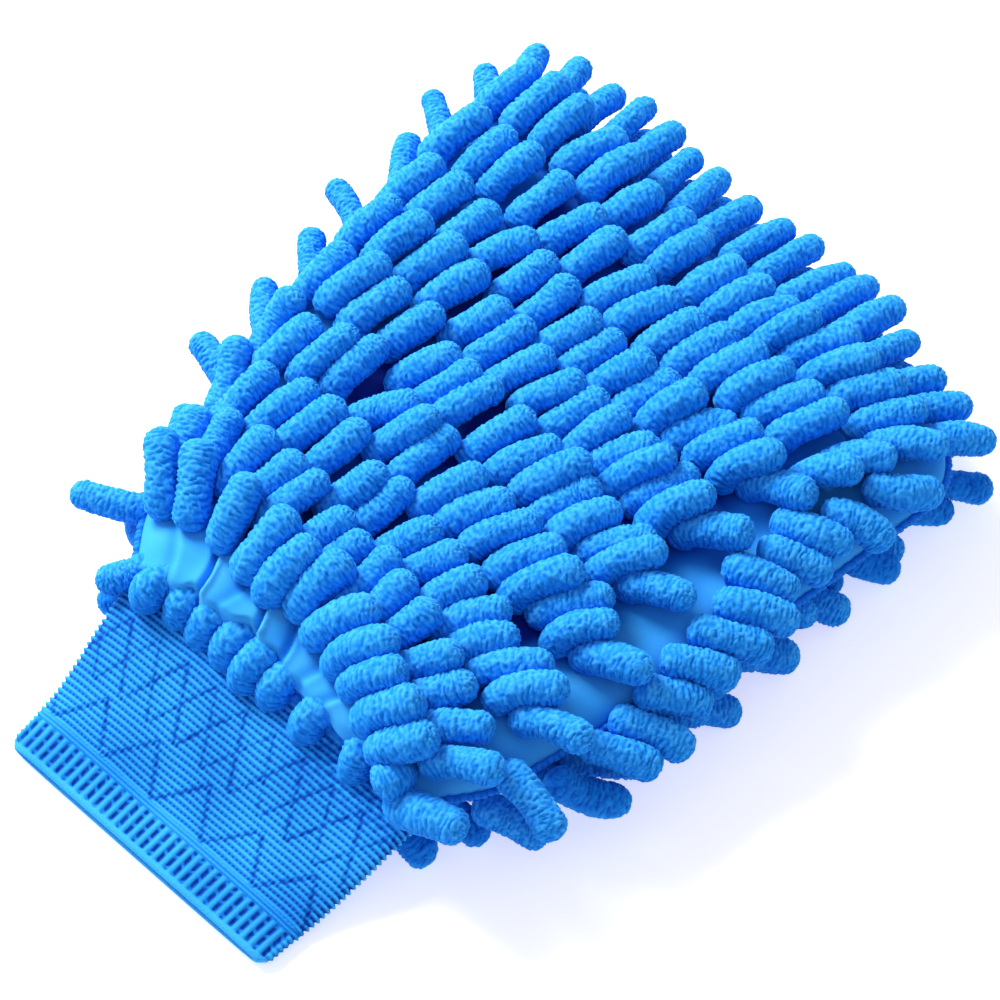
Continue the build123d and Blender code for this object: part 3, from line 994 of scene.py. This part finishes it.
def knit_relief(u, a, edge):
    """Height in mm and tone of the knit, at a distance u from its middle and a from the mouth,
    where its edge is at a distance edge from the middle."""
    a = np.full_like(u, a)
    wobble = 0.25 * knit_wave(u * 2, a * 2)
    course = np.cos(2 * math.pi * (a + 0.35 * wobble) / COURSE)
    wale = np.cos(2 * math.pi * u / WALE + math.pi * np.floor(a / COURSE))
    hole = np.clip(-course, 0, 1) * (0.5 + 0.5 * wale)
    sleeve = 0.22 * course - 0.20 * hole
    lean = 0.30 * zigzag(u + 7 + 1.5 * knit_wave(a, u), 21.0)
    # two crossing zigzags make the upper lozenges, and one leaning zigzag the lower ones
    upper_zigzag = zigzag(u + 2, 21.0)
    upper_line = np.minimum(
        np.abs(a - 38.5 - 9.5 * upper_zigzag), np.abs(a - 38.5 + 9.5 * upper_zigzag) + 0.35)
    lower_line = np.abs(a - 20.8 - 6.8 * zigzag(u - 3 + lean, 20.0))
    upper = np.exp(-((upper_line / 1.25) ** 2)) * smooth(28.4, 29.4, a)
    lower = np.exp(-((lower_line / 1.2) ** 2)) * smooth(PLAIN_END, PLAIN_END + 1, a)
    line = upper + lower * (1 - smooth(27.4, 28.4, a))
    line *= 0.55 + 0.30 * np.cos(2 * math.pi * u / WALE) + 0.25 * knit_fuzz(u, a)
    rough = smooth(38, 56, a) * (0.4 + 0.6 * smooth(0, 30, u))
    sleeve = sleeve - 0.34 * line + 0.16 * rough * knit_fuzz(u * 1.6, a * 1.6)
    past_band = smooth(PLAIN_START, PLAIN_START + 0.6, a)
    in_band = 1 - past_band
    in_sleeve = smooth(PLAIN_END, PLAIN_END + 0.6, a)
    rib = np.cos(2 * math.pi * u / RIB)
    dash_wave = np.cos(2 * math.pi * (a - 4.3 + 0.7 * np.sin(u * 0.9)) / DASH)
    dash = smooth(0.15, 0.85, -rib) * smooth(-0.85, -0.35, dash_wave)
    dash = dash * (0.78 + 0.3 * knit_fuzz(u * 2.1, a * 2.1))
    band = 0.20 * rib - 0.34 * dash * smooth(1.9, 2.6, a) * in_band
    plain = 0.24 * np.cos(2 * math.pi * (a - 12.3) / 1.25)
    height = band * in_band + plain * past_band * (1 - in_sleeve) + sleeve * in_sleeve
    # the lip rolls over at the mouth, and the side edges are toothed by the courses
    roll = 1 - smooth(1.5, 2.3, a)
    height = height * (1 - roll) + 0.32 * roll
    tooth = smooth(edge - 3.5, edge - 0.5, np.abs(u)) * (1 - roll)
    height = height + 0.30 * tooth * np.cos(2 * math.pi * a / COURSE)
    figured = a > PLAIN_END
    # painted light on the knit's crests and painted shade in its hollows and holes; the lozenge
    # lines, the band's dashes and the rough part near the body are darker as well
    tone = 0.64 + 1.15 * height - 0.34 * line * figured - 0.30 * hole * figured
    tone = tone - 0.75 * dash * in_band * (1 - roll)
    tone = tone - 0.16 * rough + 0.06 * knit_wave(u + 90, a)
    return height, np.clip(tone, 0, 1)


def knit_tube(name, profile, node, top_count, bottom_count, relief=1.0, closed=False,
              material=knit):
    """A knitted tube. Profile lists, ring by ring, the distance from the mouth and how far the
    ring lies inside the cuff's outer skin. A closed one joins its last ring to its first."""
    points, tones = [], []
    r = np.random.default_rng(len(name))
    for a, inset in profile:
        x, z, u, edge = cuff_loop(abs(a), -inset, top_count, bottom_count)
        out_x, out_z = loop_normals(x, z)
        height, tone = knit_relief(u, abs(a), edge)
        fuzz = r.normal(0, 0.035, len(u))
        h = (height + fuzz) * relief
        points.append(np.stack([x + out_x * h, np.full(len(u), mouth_y + a), z + out_z * h], -1))
        tones.append(tone)
    ring = top_count + bottom_count
    quads = grid_quads(len(profile), ring, wrap=True)
    if closed:
        quads = np.vstack([quads, closing_quads(len(profile), ring)])
    piece = store_mesh(name, np.vstack(points), [quads], np.concatenate(tones))
    return finish_piece(piece, material, node)


fine, coarse = ((380, 190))
step = 0.32
sleeve = [(a, 0.0) for a in np.arange(BAND_END + 0.5, neck_along + 2, step)]
sleeve_piece = knit_tube("cuff_outer_knit", sleeve, "cuff_outer_ply", fine, coarse)
lip = CUFF_WALL / 2
arc = np.linspace(0, math.pi, 12)
band = [(a, 0.0) for a in np.arange(BAND_END + 0.7, lip, -step)]
band += [(lip * (1 - math.sin(t)), lip * (1 - math.cos(t))) for t in arc]
band += [(a, CUFF_WALL) for a in np.arange(lip + 0.5, BAND_END + 1, 0.6)]
band_piece = knit_tube("cuff_band", band, "cuff_welt", fine, coarse)
inner = [(a, CUFF_WALL - 0.3) for a in np.arange(BAND_END, neck_along, 1.2)]
inner_piece = knit_tube("cuff_inner_knit", inner, "cuff_inner_ply", 180, 120, relief=0.4)
braid = [(3.0, 1.02), (5.0, 1.0), (7.0, 1.0), (9.0, 1.0), (11.0, 1.02)]
braid += [(a, inset + 0.45) for a, inset in reversed(braid)]
knit_tube("band_elastic", braid, "welt_elastic", 180, 120, relief=0.12, closed=True,
          material=elastic_braid)

# the gathered seam allowance where the cuff goes into the body
points, tones = [], []
turn = np.linspace(0, 2 * math.pi, 14, endpoint=False)
along = neck_along + 0.5
x, z, u, _ = cuff_loop(along, -0.4, 260, 200)
out_x, out_z = loop_normals(x, z)
gather = 0.8 + 0.25 * np.sin(u * 2.1) + 0.15 * np.sin(u * 3.7 + 1)
for angle in turn:
    out = (0.9 + gather) * math.cos(angle)
    y = mouth_y + along + 1.7 * math.sin(angle) + 0.3 * gather
    points.append(np.stack([x + out_x * out, y, z + out_z * out], -1))
    # painted light: the seam allowance is lighter where it puffs out further
    tones.append(0.4 + 0.3 * gather)
ring = len(x)
quads = np.vstack([grid_quads(len(turn), ring, wrap=True), closing_quads(len(turn), ring)])
piece = store_mesh("neck_gathering", np.vstack(points), [quads], np.concatenate(tones))
finish_piece(piece, thread, "cuff_join_seam")

# ---------- stage, light and camera

bpy.ops.mesh.primitive_plane_add(size=12.0, location=(0, 0, 0))
plane = bpy.context.object
plane.name = "floor"
material, _, _, shader = node_material("white_table")
shader.inputs["Base Color"].default_value = (0.90, 0.90, 0.92, 1)
shader.inputs["Roughness"].default_value = 0.7
shader.inputs["Emission Color"].default_value = (1.0, 0.95, 0.96, 1)
shader.inputs["Emission Strength"].default_value = 0.50
plane.data.materials.append(material)

scene = bpy.context.scene
scene.world = bpy.data.worlds.new("studio")
scene.world.use_nodes = True
sky = scene.world.node_tree.nodes["Background"]
sky.inputs["Color"].default_value = (0.84, 0.90, 1.0, 1)
sky.inputs["Strength"].default_value = 0.64
key = bpy.data.lights.new("key", "AREA")
key.shape = "SQUARE"
key.size = 0.7
key.energy = 40.0
lamp = bpy.data.objects.new("key", key)
scene.collection.objects.link(lamp)
lamp.location = (-1.20, 0.15, 0.95)
lamp.rotation_euler = (-lamp.location).to_track_quat("-Z", "Y").to_euler()
scene.view_settings.view_transform = "Standard"

azimuth, elevation, distance = math.radians(42.5), math.radians(56.4), 0.846
target = Vector((0.0029, (mouth_y + 148.1) * MM, 0.0188))
level = math.cos(elevation)
back = Vector((math.sin(azimuth) * level, -math.cos(azimuth) * level, math.sin(elevation)))
data = bpy.data.cameras.new("camera")
data.sensor_width = 36.0
data.lens = 103.6
view = bpy.data.objects.new("camera", data)
scene.collection.objects.link(view)
view.location = target + back * distance
view.rotation_euler = (-back).to_track_quat("-Z", "Y").to_euler()
bpy.context.scene.camera = view

# the CAD nodes are hidden, and get a plain cloth
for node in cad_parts.values():
    node.data.materials.clear()
    node.data.materials.append(thread)
